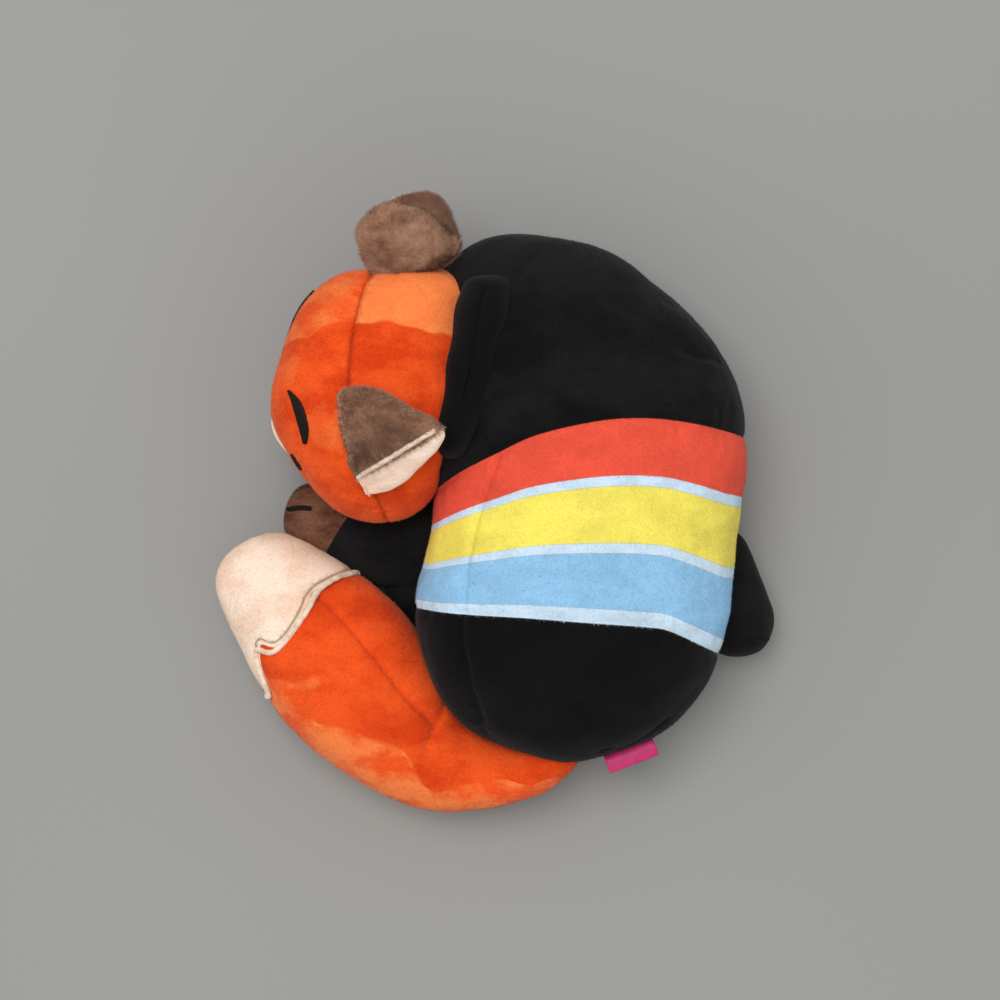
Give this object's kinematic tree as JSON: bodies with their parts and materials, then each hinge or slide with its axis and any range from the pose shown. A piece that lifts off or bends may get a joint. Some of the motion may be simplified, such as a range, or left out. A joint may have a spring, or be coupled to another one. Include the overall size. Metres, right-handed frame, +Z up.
{
  "type": "plush fox",
  "caption": "Stuffed toy fox curled up asleep in a hooded jersey, with folding ears and a tail and head that move on soft sewn seams.",
  "frame": {"origin": "on the floor, under the middle of the toy's bounding box", "axes": "+X from the face towards the back, +Y from the rump towards the far ear, +Z up"},
  "size_m": [0.2182, 0.2367, 0.0925],
  "materials": {
    "brown_pile_far": "short pile",
    "cream_lining_far": "short pile",
    "brown_pile_near": "short pile",
    "cream_lining_near": "short pile",
    "black_thread": "satin thread",
    "far_foreleg_wadding": "loose fibre",
    "brown_far_foreleg_paw": "short pile",
    "black_far_foreleg_sleeve": "short pile",
    "far_toe_stitch_thread": "satin thread",
    "orange_pile_back": "short pile",
    "orange_pile": "short pile",
    "head_wadding": "loose fibre",
    "hind_toe_stitch_thread": "satin thread",
    "black_hood": "short pile",
    "inner_hind_leg_wadding": "loose fibre",
    "black_inner_hind_leg_skin": "short pile",
    "cream_pile": "short pile",
    "near_foreleg_wadding": "loose fibre",
    "brown_near_foreleg_paw": "short pile",
    "black_near_foreleg_sleeve": "short pile",
    "near_toe_stitch_thread": "satin thread",
    "outer_hind_leg_wadding": "loose fibre",
    "black_outer_hind_leg_skin": "short pile",
    "magenta_ribbon": "satin ribbon",
    "tail_wadding": "loose fibre",
    "orange_tail_pile": "short pile",
    "cream_tail_pile": "short pile",
    "striped_jersey": "short pile",
    "body_wadding": "loose fibre",
    "black_rump": "short pile",
    "black_jersey": "short pile"
  },
  "bodies": {
    "body": {"far_foreleg_filling": "far_foreleg_wadding", "far_foreleg_paw": "brown_far_foreleg_paw", "far_foreleg_sleeve": "black_far_foreleg_sleeve", "far_toe_stitch": "far_toe_stitch_thread", "hood": "black_hood", "inner_hind_leg_filling": "inner_hind_leg_wadding", "inner_hind_leg_skin": "black_inner_hind_leg_skin", "near_foreleg_filling": "near_foreleg_wadding", "near_foreleg_paw": "brown_near_foreleg_paw", "near_foreleg_sleeve": "black_near_foreleg_sleeve", "near_toe_stitch": "near_toe_stitch_thread", "torso_band_skin": "striped_jersey", "torso_filling": "body_wadding", "torso_rump_skin": "black_rump", "torso_upper_skin": "black_jersey"},
    "head": {"eye_far": "black_thread", "eye_near": "black_thread", "head_back_skin": "orange_pile_back", "head_face_skin": "orange_pile", "head_filling": "head_wadding", "mouth_stitch": "black_thread", "muzzle": "cream_pile", "nose": "black_thread"},
    "ear_near": {"ear_near_back": "brown_pile_near", "ear_near_lining": "cream_lining_near"},
    "ear_far": {"ear_far_back": "brown_pile_far", "ear_far_lining": "cream_lining_far"},
    "tail": {"tail_filling": "tail_wadding", "tail_skin": "orange_tail_pile", "tail_tip_skin": "cream_tail_pile"},
    "outer_hind_leg": {"hind_toe_stitch": "hind_toe_stitch_thread", "outer_hind_leg_filling": "outer_hind_leg_wadding", "outer_hind_leg_skin": "black_outer_hind_leg_skin"},
    "tag": {"tag": "magenta_ribbon"}
  },
  "joints": [
    {"name": "head_lift", "type": "hinge", "parent": "body", "child": "head", "pos_m": [-0.0158, 0.0462, 0.0705], "axis": [0.1392, 0.9903, 0], "range_deg": [0, 15], "stiffness_Nm_per_rad": 0.02},
    {"name": "ear_near_lift", "type": "hinge", "parent": "head", "child": "ear_near", "pos_m": [-0.04931, 0.02004, 0.08546], "axis": [0.2682, -0.9276, -0.26], "range_deg": [0, 35], "stiffness_Nm_per_rad": 0.004},
    {"name": "ear_far_lift", "type": "hinge", "parent": "head", "child": "ear_far", "pos_m": [-0.03371, 0.08762, 0.06525], "axis": [0.9713, -0.2378, 0.001], "range_deg": [0, 30], "stiffness_Nm_per_rad": 0.004},
    {"name": "tail_swing", "type": "hinge", "parent": "body", "child": "tail", "pos_m": [0.0303, -0.098, 0], "axis": [0, 0, 1], "range_deg": [0, 35], "stiffness_Nm_per_rad": 0.02},
    {"name": "hind_leg_swing", "type": "hinge", "parent": "body", "child": "outer_hind_leg", "pos_m": [0.0885, -0.0092, 0], "axis": [0, 0, 1], "range_deg": [0, 30], "stiffness_Nm_per_rad": 0.01},
    {"name": "tag_flap", "type": "hinge", "parent": "body", "child": "tag", "pos_m": [0.05092, -0.09222, 0.037], "axis": [0.9336, 0.3584, 0], "range_deg": [-40, 40], "stiffness_Nm_per_rad": 0.0006}
  ]
}
